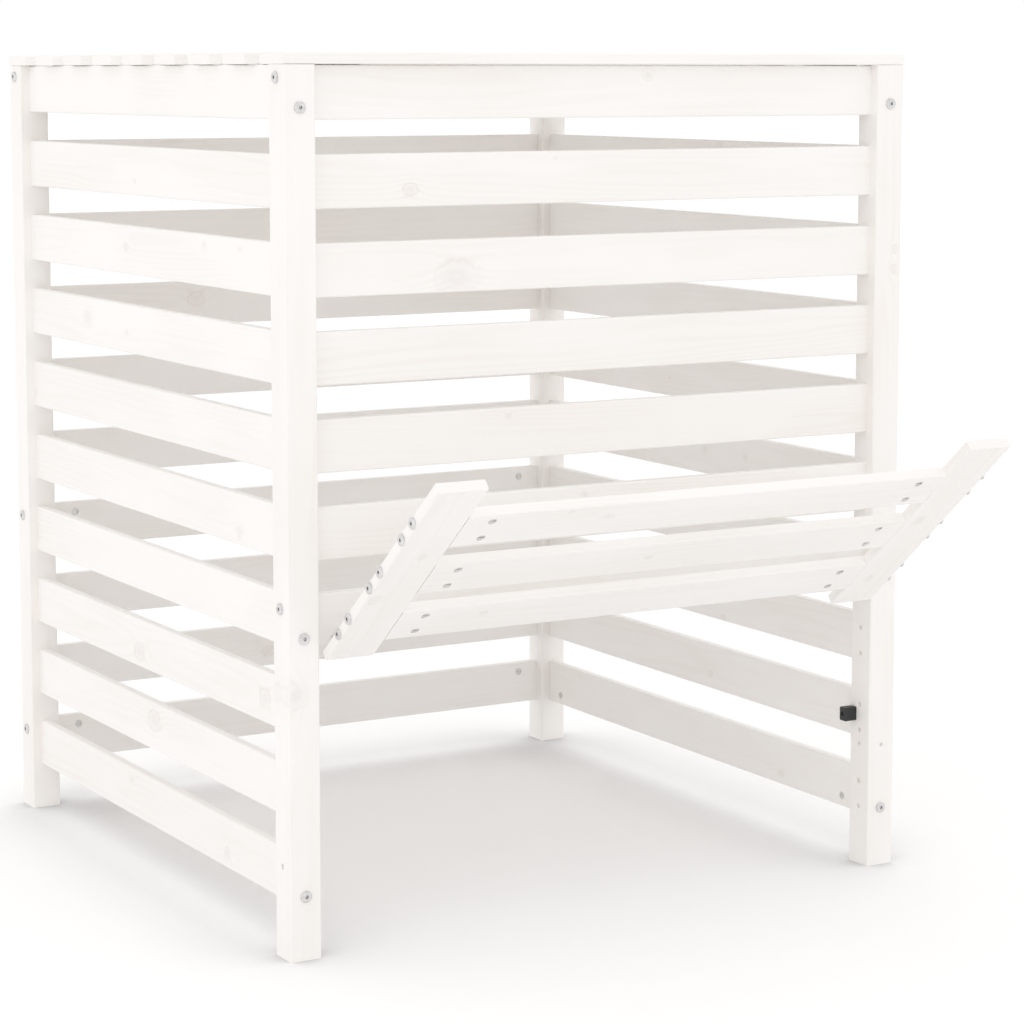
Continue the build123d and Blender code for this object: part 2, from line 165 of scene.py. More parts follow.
class Term:
    """A socket of a node tree. Sums and products of terms and numbers add their Math nodes."""

    def __init__(self, recipe, socket):
        self.recipe = recipe
        self.socket = socket

    def maths(self, operation, *others):
        """A Math node on this term and others."""
        inputs = dict(enumerate((self, *others)))
        return self.recipe.add("ShaderNodeMath", {"operation": operation}, inputs)

    def vectors(self, operation, *others, output=0):
        """A Vector Math node on this vector and others."""
        inputs = dict(enumerate((self, *others)))
        return self.recipe.add("ShaderNodeVectorMath", {"operation": operation}, inputs, output)

    def __add__(self, other):
        return self.maths("ADD", other)

    def __radd__(self, other):
        return self.recipe.number(other, "ADD", self)

    def __sub__(self, other):
        return self.maths("SUBTRACT", other)

    def __rsub__(self, other):
        return self.recipe.number(other, "SUBTRACT", self)

    def __mul__(self, other):
        return self.maths("MULTIPLY", other)

    def __rmul__(self, other):
        return self.recipe.number(other, "MULTIPLY", self)

    def __truediv__(self, other):
        return self.maths("DIVIDE", other)

    def __rtruediv__(self, other):
        return self.recipe.number(other, "DIVIDE", self)

    def __pow__(self, other):
        return self.maths("POWER", other)

    def __abs__(self):
        return self.maths("ABSOLUTE")

    def dot(self, direction):
        """How far a vector reaches along a fixed direction."""
        return self.vectors("DOT_PRODUCT", tuple(direction), output="Value")

    def rising(self, low, high):
        """0 below low, 1 above high and a smooth step between them."""
        inputs = {"Value": self, "From Min": low, "From Max": high}
        return self.recipe.add("ShaderNodeMapRange", {"interpolation_type": "SMOOTHSTEP"}, inputs)


class Recipe:
    """The node tree of one material, or of the world."""

    def __init__(self, name, kind="materials"):
        self.made = getattr(bpy.data, kind).new(name)
        self.made.use_nodes = True
        self.tree = self.made.node_tree
        self.tree.nodes.clear()

    def add(self, kind, settings=None, inputs=None, output=0):
        """Adds a node, its settings first and then its sockets' values or links, and gives one output."""
        node = self.tree.nodes.new(kind)
        for name, value in (settings or {}).items():
            setattr(node, name, value)
        for name, value in (inputs or {}).items():
            if isinstance(value, Term):
                self.tree.links.new(value.socket, node.inputs[name])
            else:
                node.inputs[name].default_value = value
        return Term(self, node.outputs[output]) if node.outputs else None

    def number(self, value, operation, term):
        """A number on the left of an operation with a term."""
        return self.add("ShaderNodeMath", {"operation": operation}, {0: value, 1: term})

    def noise(self, place, kind):
        """Smooth noise of this kind, from 0 to 1."""
        inputs = {"Vector": place, "Scale": 1 / kind.size, "Detail": kind.detail, "Roughness": kind.roughness}
        return self.add("ShaderNodeTexNoise", {"noise_dimensions": "3D"}, inputs)

    def vector(self, x, y, z):
        """A vector from its three parts."""
        return self.add("ShaderNodeCombineXYZ", None, {"X": x, "Y": y, "Z": z})

    def mix(self, factor, first, second):
        """The first colour where the factor is 0 and the second where it is 1."""
        names = {0: factor, 6: first, 7: second}
        return self.add("ShaderNodeMix", {"data_type": "RGBA"}, names, 2)

    def surface(self, inputs, height=None, depth=0.0):
        """Ends the tree in one shader; the height, from 0 to 1, stands for this depth in metres."""
        if height is not None:
            inputs["Normal"] = self.add("ShaderNodeBump", None, {"Height": height, "Distance": depth})
        shader = self.add("ShaderNodeBsdfPrincipled", None, inputs)
        self.add("ShaderNodeOutputMaterial", None, {"Surface": shader})
        return self.made


def rgba(color):
    """A colour with full alpha, as sockets take it."""
    return (*color, 1.0)


# Pine

# A board's heart line, from the board's middle: how far across and how deep it may lie,
# and how much it may lean. The noise starts anywhere in a cube of this half width.
HEART_ACROSS = 0.022
HEART_DEPTHS = (0.018, 0.055)
HEART_LEAN = 0.05
NOISE_START = 9

PATCHES = Noise(0.09, along_share=0.35)
WANDER = Noise(0.030, detail=1.0, along_share=0.10)
FIBRES = Noise(0.0011, detail=3.0, roughness=0.6, along_share=0.016)
STREAKS = Noise(0.0065, along_share=0.030)
KNOT_EDGE = Noise(0.010, detail=1.0)

# A knot, in shares of its radius: where its core and its halo fade out, and its dark outline
FAR_FROM_KNOTS = 100.0
CORE_FADE = (0.55, 1.2)
HALO_FADE = (1.0, 2.6)
OUTLINE_PLACE = 1.15
OUTLINE_FADE = (0.0, 0.25)
KNOT_RING_DEPTH = 0.12

# Where patches let the outline, the rings and the worn edges through
OUTLINE_PATCHES = (0.3, 0.6)
RING_PATCHES = (0.3, 0.75)
WORN_PATCHES = (0.35, 0.65)

# How far a face has to turn along the grain to be an end, how deep below a face the wall of
# a bore begins, and how the wood shows on ends between the rings
END_TURN = (0.6, 0.9)
BORE_DEPTHS = (0.0008, 0.0016)
END_BETWEEN_RINGS = 0.4
LATE_WOOD_POWER = 3

# Shares of the roughness and of the relief
FIBRE_ROUGHNESS = 0.16
END_ROUGHNESS = 0.12
FIBRE_RELIEF = 0.45
RING_RELIEF = 0.25
STREAK_RELIEF = 0.3


def white_pine(name, lay, look, knots, centre, half_sizes, repeat, seed):
    """Pine under a thin white coat.

    The year rings are cylinders round a heart line that lies below the face and leans a
    little to the piece, so they cut the face in long lines and pointed arches. They bend
    round each knot, where the coat lets more of the dark wood through. Fine fibres run along
    the grain, the coat is thinner on the edges, the rings show on the ends, and the walls of
    bores are bare.
    """
    chance = np.random.default_rng(seed)
    heart_across = chance.uniform(-HEART_ACROSS, HEART_ACROSS)
    lean = chance.uniform(-HEART_LEAN, HEART_LEAN)
    heart_depth = chance.choice((-1, 1)) * chance.uniform(*HEART_DEPTHS)
    tone = chance.uniform(-1, 1)
    start = Vector(chance.uniform(-NOISE_START, NOISE_START, 3))

    recipe = Recipe(name)
    here = recipe.add("ShaderNodeTexCoord", output="Object")
    outwards = recipe.add("ShaderNodeTexCoord", output="Normal")
    through = lay.along.cross(lay.across)
    along = here.dot(lay.along) - centre.dot(lay.along)
    across = here.dot(lay.across) - centre.dot(lay.across)
    deep = here.dot(through) - centre.dot(through)
    inside = across
    if repeat:
        inside = (across - repeat.first).maths("WRAP", repeat.pitch / 2, -repeat.pitch / 2)

    def wood_noise(kind):
        """Noise on the piece, drawn out along the grain."""
        place = recipe.vector(along * kind.along_share + start.x, across + start.y, deep + start.z)
        return recipe.noise(place, kind)

    patches = wood_noise(PATCHES)
    wander = wood_noise(WANDER) - 0.5
    fibres = wood_noise(FIBRES)
    streaks = wood_noise(STREAKS)

    # Distance to the nearest knot, as a share of its radius
    nearness = FAR_FROM_KNOTS
    for knot_along, knot_across, radius in knots:
        offset = recipe.vector(along - knot_along, (across - knot_across) * look.knot_squash, 0.0)
        reach = offset.vectors("LENGTH", output="Value") / radius
        nearness = reach.maths("MINIMUM", nearness)
    nearness = wood_noise(KNOT_EDGE) * look.knot_wobble + nearness

    rise = (inside - heart_across + along * lean) ** 2 + (deep - heart_depth) ** 2
    radius = rise ** 0.5 + wander * look.ring_wander + look.ring_bend / (1 + nearness * nearness)
    rings = (radius * (2 * pi / look.ring_spacing)).maths("SINE") * 0.5 + 0.5
    core = 1 - nearness.rising(*CORE_FADE)
    late_wood = rings ** LATE_WOOD_POWER * (1 - core)
    outline = (1 - abs(nearness - OUTLINE_PLACE).rising(*OUTLINE_FADE)) * patches.rising(*OUTLINE_PATCHES)
    halo = 1 - nearness.rising(*HALO_FADE)

    end_face = abs(outwards.dot(lay.along)).rising(*END_TURN)
    half_length, half_width, half_thickness = half_sizes
    rim = (half_width - abs(inside)).maths("MINIMUM", half_thickness - abs(deep))
    bored = rim.maths("MINIMUM", half_length - abs(along)).rising(*BORE_DEPTHS)
    worn = (1 - rim.rising(0.0, look.edge_wear_width)) * patches.rising(*WORN_PATCHES)

    show = late_wood * patches.rising(*RING_PATCHES) * look.grain_show
    show = show + (streaks - 0.5) * look.streak_show + (fibres - 0.5) * look.fibre_show
    show = show + worn * look.edge_show + end_face * (late_wood + END_BETWEEN_RINGS) * look.end_show
    show = show + (look.coat_thinness + tone * look.tone_spread)
    show = show + halo * late_wood * look.halo_show
    show = show.maths("MAXIMUM", 0.0).maths("MINIMUM", 1.0)
    color = recipe.mix(show, rgba(look.coat_color), rgba(look.pine_color))
    knot_rings = (nearness * (look.knot_ring_count * pi)).maths("SINE")
    knot_rings = knot_rings * KNOT_RING_DEPTH + (1 - KNOT_RING_DEPTH)
    dark = (core * knot_rings).maths("MAXIMUM", outline)
    color = recipe.mix(dark * look.knot_show, color, rgba(look.knot_color))
    color = recipe.mix(bored * look.bore_show, color, rgba(look.pine_color))

    roughness = look.roughness + (fibres - 0.5) * FIBRE_ROUGHNESS + end_face * END_ROUGHNESS
    height = fibres * FIBRE_RELIEF + rings * RING_RELIEF + streaks * STREAK_RELIEF
    inputs = {"Base Color": color, "Roughness": roughness, "Specular IOR Level": look.gloss}
    return recipe.surface(inputs, height, look.relief)


# Metal, plastic, dowels and plugs

# Zinc: its mottle and clouds, its crystals in a metre, the noise between which it turns from
# dull to bright, and what clouds and crystals add to the roughness. Where it is blackened,
# the black fades out over this width.
MOTTLE = Noise(0.0016)
ZINC_CLOUDS = Noise(0.009)
CRYSTALS_PER_METRE = 1200.0
ZINC_SHADES = (0.3, 0.7)
ZINC_CLOUD_ROUGHNESS = 0.25
CRYSTAL_ROUGHNESS = 0.06
BLACK_EDGE_WIDTH = 0.01

# Plastic: its texture and scuffs
TEXTURE = Noise(0.0005, detail=1.0)
SCUFFS = Noise(0.004, detail=4.0, roughness=0.7)
SCUFF_SHADES = (0.58, 0.75)
SCUFF_SHOW = 0.5
TEXTURE_ROUGHNESS = 0.2
SCUFF_ROUGHNESS = 0.1

# Beech: its flecks and clouds
FLECKS = Noise(0.0012, detail=3.0)
BEECH_CLOUDS = Noise(0.012, detail=1.0)
FLECK_SHADES = (0.45, 0.7)
FLECK_SHOW = 0.5
BEECH_CLOUD_SHOW = 0.3
BEECH_RELIEF = 0.0001

# End grain: its pores and clouds
PORES = Noise(0.0006, detail=3.0)
PLUG_CLOUDS = Noise(0.004, detail=1.0)
PORE_SHOW = 0.6
PLUG_CLOUD_SHOW = 0.4

# Bare wood: its roughness, and how far noise changes it
BARE_ROUGHNESS = 0.6
BARE_ROUGHNESS_SPREAD = 0.2


def zinc(name, look, black_below=None):
    """Zinc plating: a fine mottle, clouds and crystals with a soft sheen; black below a height."""
    recipe = Recipe(name)
    here = recipe.add("ShaderNodeTexCoord", output="Object")
    mottle = recipe.noise(here, MOTTLE)
    cloud = recipe.noise(here, ZINC_CLOUDS)
    grid = {"Vector": here, "Scale": CRYSTALS_PER_METRE}
    crystals = recipe.add("ShaderNodeTexVoronoi", {"feature": "F1"}, grid)
    shade = mottle * 0.5 + cloud * 0.5
    color = recipe.mix(shade.rising(*ZINC_SHADES), rgba(look.zinc_dull), rgba(look.zinc_bright))
    if black_below is not None:
        above = here.dot(Z).rising(black_below, black_below + BLACK_EDGE_WIDTH)
        color = recipe.mix(above, rgba(look.plastic_color), color)
    roughness = look.zinc_roughness + (cloud - 0.5) * ZINC_CLOUD_ROUGHNESS + crystals * CRYSTAL_ROUGHNESS
    inputs = {"Base Color": color, "Metallic": 1.0, "Roughness": roughness}
    return recipe.surface(inputs, mottle, look.zinc_relief)


def moulded_plastic(name, look):
    """Black moulded plastic with a spark-eroded texture and paler scuffs."""
    recipe = Recipe(name)
    here = recipe.add("ShaderNodeTexCoord", output="Object")
    texture = recipe.noise(here, TEXTURE)
    scuffs = recipe.noise(here, SCUFFS).rising(*SCUFF_SHADES)
    color = recipe.mix(scuffs * SCUFF_SHOW, rgba(look.plastic_color), rgba(look.plastic_scuff))
    roughness = look.plastic_roughness + (texture - 0.5) * TEXTURE_ROUGHNESS + scuffs * SCUFF_ROUGHNESS
    return recipe.surface({"Base Color": color, "Roughness": roughness}, texture, look.plastic_relief)


def bare_beech(name, look):
    """A turned beech dowel: pale, with small dark flecks and soft clouds."""
    recipe = Recipe(name)
    here = recipe.add("ShaderNodeTexCoord", output="Object")
    flecks = recipe.noise(here, FLECKS)
    cloud = recipe.noise(here, BEECH_CLOUDS)
    dark = flecks.rising(*FLECK_SHADES) * FLECK_SHOW + cloud * BEECH_CLOUD_SHOW
    color = recipe.mix(dark, rgba(look.beech_pale), rgba(look.beech_dark))
    roughness = BARE_ROUGHNESS + (flecks - 0.5) * BARE_ROUGHNESS_SPREAD
    return recipe.surface({"Base Color": color, "Roughness": roughness}, flecks, BEECH_RELIEF)


def end_grain(name, look):
    """The end grain of a plug under a thin white coat: small dark pores and a soft cloud."""
    recipe = Recipe(name)
    here = recipe.add("ShaderNodeTexCoord", output="Object")
    pores = recipe.noise(here, PORES)
    cloud = recipe.noise(here, PLUG_CLOUDS)
    pale = pores * PORE_SHOW + cloud * PLUG_CLOUD_SHOW
    color = recipe.mix(pale, rgba(look.plug_dark), rgba(look.plug_pale))
    roughness = BARE_ROUGHNESS + (pores - 0.5) * BARE_ROUGHNESS_SPREAD
    return recipe.surface({"Base Color": color, "Roughness": roughness}, pores, look.plug_relief)


# Coats


def paint(node, material):
    """Puts a material in every slot of a node."""
    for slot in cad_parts[node].material_slots:
        slot.material = material


def spare_knots(length, width, seed):
    """A few small knots for a board whose own the photograph doesn't show."""
    chance = np.random.default_rng(seed + SPARE_KNOT_FIRST_SEED)
    places = []
    for _ in range(chance.integers(*SPARE_KNOT_TRIES)):
        if chance.uniform() < SPARE_KNOTS_KEPT_SHARE:
            along = chance.uniform(-SPARE_KNOT_ALONG_SHARE, SPARE_KNOT_ALONG_SHARE) * length
            across = chance.uniform(-SPARE_KNOT_ACROSS_SHARE, SPARE_KNOT_ACROSS_SHARE) * width
            places.append((along, across, chance.uniform(*SPARE_KNOT_RADII)))
    return places


def coat_pieces(nodes, lay, look, repeat=None):
    """Coats each of these nodes as a piece of pine of its own."""
    order = sorted(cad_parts)
    for node in nodes:
        seed = order.index(node)
        length = length_along(node, lay.along)
        width = POST_SIZE if lay is POST else BOARD_WIDTH
        thickness = POST_SIZE if lay is POST else BOARD_THICKNESS
        knots = KNOTS[node] if node in KNOTS else spare_knots(length, width, seed)
        half_sizes = (length / 2, width / 2, thickness / 2)
        name = f"white_pine_{node}"
        paint(node, white_pine(name, lay, look, knots, middle(node), half_sizes, repeat, seed))


def numbered(stem, count):
    """The names of a run of nodes."""
    return [f"{stem}_{n + 1}" for n in range(count)]


# Settings


class PineLook(bpy.types.PropertyGroup):
    """The white coated pine."""

    coat_color: FloatVectorProperty(
        name="Coat", description="White of the thin coat", default=(0.958, 0.937, 0.917), subtype="COLOR"
    )
    pine_color: FloatVectorProperty(
        name="Pine", description="Wood that shows through the coat", default=(0.66, 0.51, 0.40),
        subtype="COLOR",
    )
    knot_color: FloatVectorProperty(
        name="Knot", description="Wood of the knots", default=(0.48, 0.37, 0.34), subtype="COLOR"
    )
    coat_thinness: FloatProperty(
        name="Thinness", description="Wood that shows everywhere", default=0.03, subtype="FACTOR"
    )
    tone_spread: FloatProperty(
        name="Tone spread", description="Difference from board to board", default=0.012, subtype="FACTOR"
    )
    grain_show: FloatProperty(
        name="Rings", description="Strength of the year rings", default=0.06, subtype="FACTOR"
    )
    streak_show: FloatProperty(
        name="Streaks", description="Strength of broad streaks", default=0.045, subtype="FACTOR"
    )
    fibre_show: FloatProperty(
        name="Fibres", description="Strength of the fine fibres", default=0.04, subtype="FACTOR"
    )
    edge_show: FloatProperty(
        name="Edges", description="Wood that shows on worn edges", default=0.05, subtype="FACTOR"
    )
    end_show: FloatProperty(
        name="Ends", description="Wood that shows on cut ends", default=0.035, subtype="FACTOR"
    )
    halo_show: FloatProperty(
        name="Halo", description="Stronger rings round a knot", default=0.07, subtype="FACTOR"
    )
    knot_show: FloatProperty(
        name="Knots", description="Strength of the knots", default=0.14, subtype="FACTOR"
    )
    bore_show: FloatProperty(
        name="Bores", description="Bare wood in the bores", default=0.5, subtype="FACTOR"
    )
    knot_wobble: FloatProperty(
        name="Knot wobble", description="Unevenness of a knot's outline", default=0.5, subtype="FACTOR"
    )
    knot_squash: FloatProperty(
        name="Knot squash", description="Length of a knot by its width", default=1.35, subtype="UNSIGNED"
    )
    knot_ring_count: FloatProperty(
        name="Knot rings", description="Rings in a knot", default=5.0, subtype="UNSIGNED"
    )
    ring_spacing: FloatProperty(
        name="Ring spacing", description="Width of a year ring", default=0.0046, unit="LENGTH"
    )
    ring_wander: FloatProperty(
        name="Ring wander", description="How far the rings wander", default=0.014, unit="LENGTH"
    )
    ring_bend: FloatProperty(
        name="Ring bend", description="How far rings bend round a knot", default=0.012, unit="LENGTH"
    )
    edge_wear_width: FloatProperty(
        name="Edge wear", description="Width of the worn edge", default=0.0025, unit="LENGTH"
    )
    relief: FloatProperty(name="Relief", description="Depth of the grain", default=0.00007, unit="LENGTH")
    roughness: FloatProperty(
        name="Roughness", description="Roughness of the coat", default=0.55, subtype="FACTOR"
    )
    gloss: FloatProperty(
        name="Gloss", description="Strength of the coat's reflections", default=0.35, subtype="FACTOR"
    )


class TrimLook(bpy.types.PropertyGroup):
    """The zinc plated steel, the black stop block and the dowels."""

    zinc_bright: FloatVectorProperty(
        name="Zinc", description="Bright zinc", default=(0.83, 0.825, 0.82), subtype="COLOR"
    )
    zinc_dull: FloatVectorProperty(
        name="Dull zinc", description="Dull zinc", default=(0.62, 0.615, 0.61), subtype="COLOR"
    )
    zinc_roughness: FloatProperty(
        name="Zinc roughness", description="Roughness of the zinc", default=0.46, subtype="FACTOR"
    )
    zinc_relief: FloatProperty(
        name="Zinc relief", description="Depth of the zinc's mottle", default=0.00004, unit="LENGTH"
    )
    plastic_color: FloatVectorProperty(
        name="Plastic", description="Black plastic", default=(0.022, 0.022, 0.024), subtype="COLOR"
    )
    plastic_scuff: FloatVectorProperty(
        name="Scuffs", description="Scuffed plastic", default=(0.09, 0.09, 0.09), subtype="COLOR"
    )
    plastic_roughness: FloatProperty(
        name="Plastic roughness", description="Roughness of the plastic", default=0.48, subtype="FACTOR"
    )
    plastic_relief: FloatProperty(
        name="Plastic relief", description="Depth of its texture", default=0.00006, unit="LENGTH"
    )
    beech_pale: FloatVectorProperty(
        name="Beech", description="Pale beech", default=(0.66, 0.47, 0.29), subtype="COLOR"
    )
    beech_dark: FloatVectorProperty(
        name="Beech flecks", description="Dark flecks of the beech", default=(0.42, 0.26, 0.14),
        subtype="COLOR",
    )


class PlugLook(bpy.types.PropertyGroup):
    """The plugs in the empty holes of the front posts."""

    hole_offset: FloatProperty(
        name="Hole offset", description="From a row's middle to its holes", default=0.016, unit="LENGTH"
    )
    dowel_hole_radius: FloatProperty(
        name="Dowel hole", description="Radius of the dowel holes", default=0.00305, unit="LENGTH"
    )
    bolt_hole_radius: FloatProperty(
        name="Bolt hole", description="Radius of the bolt holes", default=0.0035, unit="LENGTH"
    )
    spare_hole_radius: FloatProperty(
        name="Spare hole", description="Radius of the spare holes", default=0.0025, unit="LENGTH"
    )
    spare_hole_drop: FloatProperty(
        name="Spare hole drop", description="From the stop block down to the spare holes", default=0.036,
        unit="LENGTH",
    )
    sunk: FloatProperty(
        name="Sunk", description="How deep a plug's rim sits", default=0.0012, unit="LENGTH"
    )
    dome: FloatProperty(
        name="Dome", description="Height of a plug's dome", default=0.0005, unit="LENGTH"
    )
    plug_pale: FloatVectorProperty(
        name="Plug", description="Pale wood of a plug", default=(0.88, 0.84, 0.80), subtype="COLOR"
    )
    plug_dark: FloatVectorProperty(
        name="Plug pores", description="Dark pores of a plug", default=(0.66, 0.60, 0.55), subtype="COLOR"
    )
    plug_relief: FloatProperty(
        name="Plug relief", description="Depth of a plug's pores", default=0.0001, unit="LENGTH"
    )


class StageLook(bpy.types.PropertyGroup):
    """The floor, the light and the camera."""

    floor_color: FloatVectorProperty(
        name="Floor", description="Pale floor", default=(0.95, 0.95, 0.95), subtype="COLOR"
    )
    floor_seen: FloatVectorProperty(
        name="Floor as seen", description="White of the floor to the camera", default=(1.0, 1.0, 1.0),
        subtype="COLOR",
    )
    # Painted shade: the floor's colour to the camera where things stand close above it, and how far up they
    # darken it
    floor_painted_shade: FloatVectorProperty(
        name="Floor in shade", description="Floor to the camera where it is covered",
        default=(0.30, 0.30, 0.30), subtype="COLOR",
    )
    painted_shade_reach: FloatProperty(
        name="Contact reach", description="How far up things cover the floor", default=0.2, unit="LENGTH"
    )
    floor_radius: FloatProperty(
        name="Floor radius", description="Reach of the floor", default=60.0, unit="LENGTH"
    )
    sky_color: FloatVectorProperty(
        name="Sky color", description="White of the sky", default=(1.0, 1.0, 1.0), subtype="COLOR"
    )
    sky_strength: FloatProperty(
        name="Sky", description="Strength of the even light", default=1.05, subtype="UNSIGNED"
    )
    key_power: FloatProperty(
        name="Key", description="Power of the lamp on the left", default=9.5, unit="POWER"
    )
    key_place: FloatVectorProperty(
        name="Key place", description="Place of the lamp on the left", default=(-4.2, -2.4, 3.4),
        unit="LENGTH", subtype="TRANSLATION",
    )
    key_size: FloatProperty(
        name="Key size", description="Width of the lamp on the left", default=3.0, unit="LENGTH"
    )
    camera_place: FloatVectorProperty(
        name="Camera", description="Place of the camera", default=(-1.7595, -3.0979, 0.9720),
        unit="LENGTH", subtype="TRANSLATION",
    )
    camera_heading: FloatProperty(
        name="Heading", description="Turn of the camera to the right", default=radians(30.06),
        subtype="ANGLE",
    )
    camera_tilt: FloatProperty(
        name="Tilt", description="Turn of the camera downwards", default=radians(6.585), subtype="ANGLE"
    )
    camera_lens: FloatProperty(
        name="Lens", description="Focal length in millimetres", default=102.26, unit="CAMERA"
    )
    camera_drop: FloatProperty(
        name="Drop", description="How far the lens is shifted down, as a share of the frame",
        default=0.10, subtype="FACTOR",
    )


# Operators


class FinishPosts(bpy.types.Operator):
    """Coats the four corner posts."""

    bl_idname = "compost_bin.posts"
    bl_label = "Posts"

    def execute(self, context):
        nodes = [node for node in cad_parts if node.startswith("post_")]
        coat_pieces(nodes, POST, context.scene.bin_pine)
        return {"FINISHED"}


class FinishSides(bpy.types.Operator):
    """Coats the slats of the left and right sides."""

    bl_idname = "compost_bin.sides"
    bl_label = "Side slats"

    def execute(self, context):
        nodes = numbered("left_slat", SIDE_ROWS) + numbered("right_slat", SIDE_ROWS)
        coat_pieces(nodes, SLAT_FRONT_TO_BACK, context.scene.bin_pine)
        return {"FINISHED"}


class FinishFront(bpy.types.Operator):
    """Coats the fixed front slats."""

    bl_idname = "compost_bin.front"
    bl_label = "Front slats"

    def execute(self, context):
        coat_pieces(numbered("front_slat", FRONT_ROWS), SLAT_ACROSS_THE_BIN, context.scene.bin_pine)
        return {"FINISHED"}


class FinishBack(bpy.types.Operator):
    """Coats the back slats."""

    bl_idname = "compost_bin.back"
    bl_label = "Back slats"

    def execute(self, context):
        coat_pieces(["back_slats"], SLAT_ACROSS_THE_BIN, context.scene.bin_pine, BACK_SLAT_ROWS)
        return {"FINISHED"}


class FinishLid(bpy.types.Operator):
    """Coats the lid's slats and the battens under them."""

    bl_idname = "compost_bin.lid"
    bl_label = "Lid"

    def execute(self, context):
        coat_pieces(numbered("lid_slat", LID_SLATS), LID_SLAT, context.scene.bin_pine)
        coat_pieces(["lid_battens"], LID_BATTEN, context.scene.bin_pine, LID_BATTEN_PAIR)
        return {"FINISHED"}


class FinishFlap(bpy.types.Operator):
    """Coats the flap's boards and battens."""

    bl_idname = "compost_bin.flap"
    bl_label = "Flap"

    def execute(self, context):
        coat_pieces(numbered("flap_board", FLAP_BOARDS), FLAP_BOARD, context.scene.bin_pine)
        coat_pieces(["flap_batten_left", "flap_batten_right"], FLAP_BATTEN, context.scene.bin_pine)
        return {"FINISHED"}


class FinishFixings(bpy.types.Operator):
    """Finishes the bolts, barrel nuts, screws and dowels."""

    bl_idname = "compost_bin.fixings"
    bl_label = "Fixings"

    def execute(self, context):
        look = context.scene.bin_trim
        plating = zinc("zinc_fixings", look)
        for node in ("frame_bolts", "flap_bolts", "frame_barrel_nuts", "flap_barrel_nuts"):
            paint(node, plating)
        above_stop = middle("flap_stop").z + extent("flap_stop").z
        paint("frame_screws", zinc("zinc_frame_screws", look, above_stop))
        for node in ("flap_screws", "lid_screws"):
            paint(node, plating)
        paint("dowels", bare_beech("beech_dowels", look))
        return {"FINISHED"}


def plug_places(look):
    """Where the front posts' empty holes open, each with the direction out of its mouth and its radius."""
    left, right = (middle(f"post_front_{side}") for side in ("left", "right"))
    half = POST_SIZE / 2
    rows = [middle(node).z for node in numbered("left_slat", SIDE_ROWS)[FRONT_ROWS:]]
    heights = [row + side * look.hole_offset for row in rows for side in (-1, 1)]
    bolt_height = heights[-1]
    places = []
    for post, inwards in ((left, X), (right, -X)):
        for height in heights:
            radius = look.bolt_hole_radius if height == bolt_height else look.dowel_hole_radius
            mouth = Vector((post.x, post.y, height)) + half * inwards
            places.append((mouth, inwards, radius))
        mouth = Vector((post.x, post.y, bolt_height)) - half * inwards
        places.append((mouth, -inwards, look.bolt_hole_radius))
    spare_height = middle("flap_stop").z - look.spare_hole_drop
    for outwards in (-X, -Y):
        mouth = Vector((right.x, right.y, spare_height)) + half * outwards
        places.append((mouth, outwards, look.spare_hole_radius))
    return places


def domed_discs(places, sunk, dome, sides=32, rings=6):
    """Domed discs in the mouths of holes.

    With s from 0 to 1 along a disc's radius r and t once round it, a point lies s*r from the
    middle in the direction t, at a height of dome*(1 - s*s) - sunk out of the mouth.
    """
    s = np.linspace(0, 1, rings + 1)[1:]
    t = np.arange(sides) * 2 * pi / sides
    ring, side = np.meshgrid(np.arange(rings - 1), np.arange(sides), indexing="ij")
    near, next_near = ring * sides + side + 1, ring * sides + (side + 1) % sides + 1
    quads = np.stack((near, near + sides, next_near + sides, next_near), axis=-1).reshape(-1, 4)
    around = np.arange(sides)
    hub = np.column_stack((np.zeros(sides, int), 1 + around, 1 + (around + 1) % sides))
    points, faces = [], []
    for count, (mouth, outwards, radius) in enumerate(places):
        first = outwards.cross(Z)
        second = outwards.cross(first)
        flat = np.outer(s, np.cos(t))[..., None] * np.array(first)
        flat = flat + np.outer(s, np.sin(t))[..., None] * np.array(second)
        lift = (dome * (1 - s * s) - sunk)[:, None, None] * np.array(outwards)
        top = (dome - sunk) * np.array([outwards])
        disc = np.array(mouth) + np.vstack((top, (radius * flat + lift).reshape(-1, 3)))
        start = count * len(disc)
        points.append(disc)
        faces += (quads + start).tolist() + (hub + start).tolist()
    mesh = bpy.data.meshes.new("post_plugs")
    mesh.from_pydata(np.vstack(points).tolist(), [], faces)
    mesh.polygons.foreach_set("use_smooth", np.ones(len(faces), bool))
    piece = bpy.data.objects.new("post_plugs", mesh)
    bpy.context.scene.collection.objects.link(piece)
    return piece


class AddPlugs(bpy.types.Operator):
    """Plugs the front posts' empty holes below the fixed slats."""

    bl_idname = "compost_bin.plugs"
    bl_label = "Plugs"

    def execute(self, context):
        look = context.scene.bin_plugs
        piece = domed_discs(plug_places(look), look.sunk, look.dome)
        piece.data.materials.append(end_grain("white_plugs", look))
        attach(piece, "frame")
        return {"FINISHED"}


class FinishHinges(bpy.types.Operator):
    """Finishes the hinges of the flap and the lid."""

    bl_idname = "compost_bin.hinges"
    bl_label = "Hinges"

    def execute(self, context):
        plating = zinc("zinc_hinges", context.scene.bin_trim)
        for node in ("hinge_frame_leaves", "hinge_flap_leaves", "hinge_lid_leaves", "hinge_pins"):
            paint(node, plating)
        return {"FINISHED"}


class FinishStop(bpy.types.Operator):
    """Finishes the flap's stop block."""

    bl_idname = "compost_bin.stop"
    bl_label = "Stop block"

    def execute(self, context):
        paint("flap_stop", moulded_plastic("black_stop", context.scene.bin_trim))
        return {"FINISHED"}


# The stage

# The width of the camera's sensor in millimetres, and the samples of the floor's painted shade
SENSOR_WIDTH = 36.0
PAINTED_SHADE_SAMPLES = 16


